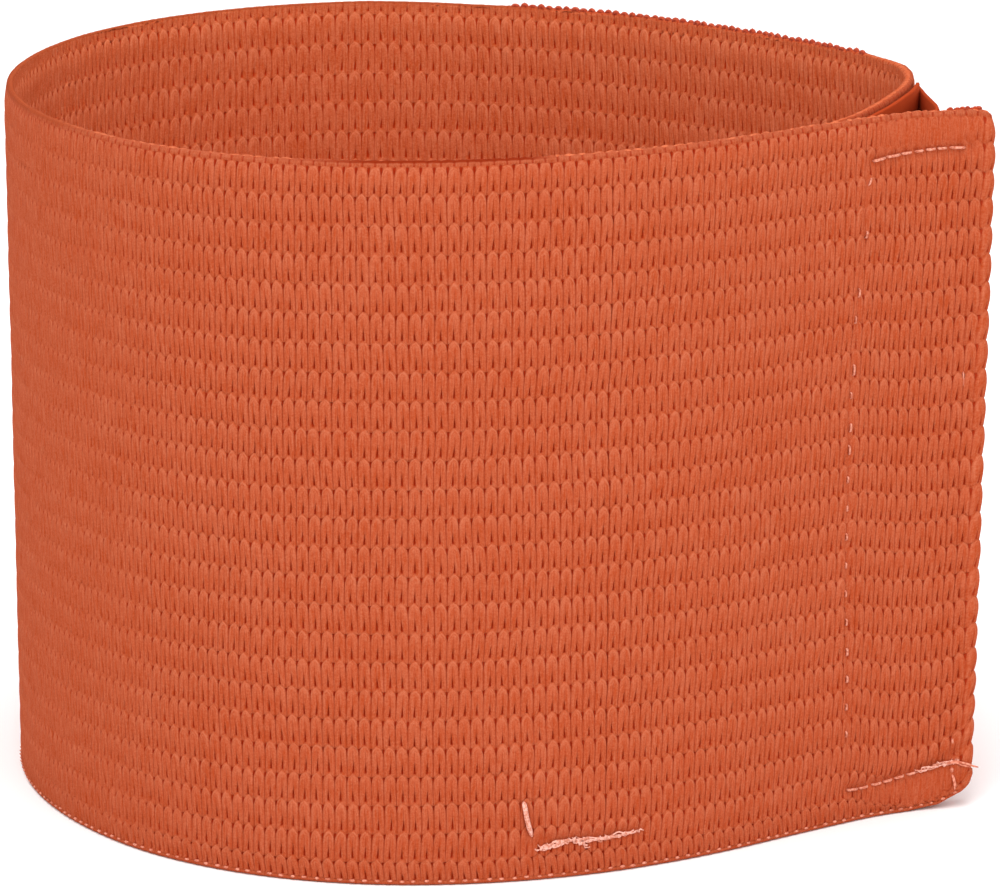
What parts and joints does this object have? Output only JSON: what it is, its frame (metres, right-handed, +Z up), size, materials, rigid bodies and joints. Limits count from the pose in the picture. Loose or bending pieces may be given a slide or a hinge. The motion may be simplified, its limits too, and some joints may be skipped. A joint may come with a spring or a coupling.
{
  "type": "elastic armband",
  "caption": "Wide ribbed knit elastic armband, closed into an open loop by an overlapped hook-and-loop lap and standing on its lower edge.",
  "frame": {"origin": "centre of the bounding box in plan, on the surface that the lower edge stands on", "axes": "+Z up along the way the arm goes in, -Y towards the front of the loop, +X towards the end where the layers lap"},
  "size_m": [0.1048, 0.097, 0.075],
  "materials": {
    "elastic": "ribbed knit, matt with a soft sheen on the yarn",
    "hook_tape": "smooth woven backing with fine hooks",
    "loop_tape": "short napped loops, matt",
    "thread": "pale sewing thread"
  },
  "bodies": {
    "root": {"elastic_band": "elastic", "hook_tape": "hook_tape", "loop_tape": "loop_tape"}
  },
  "joints": []
}
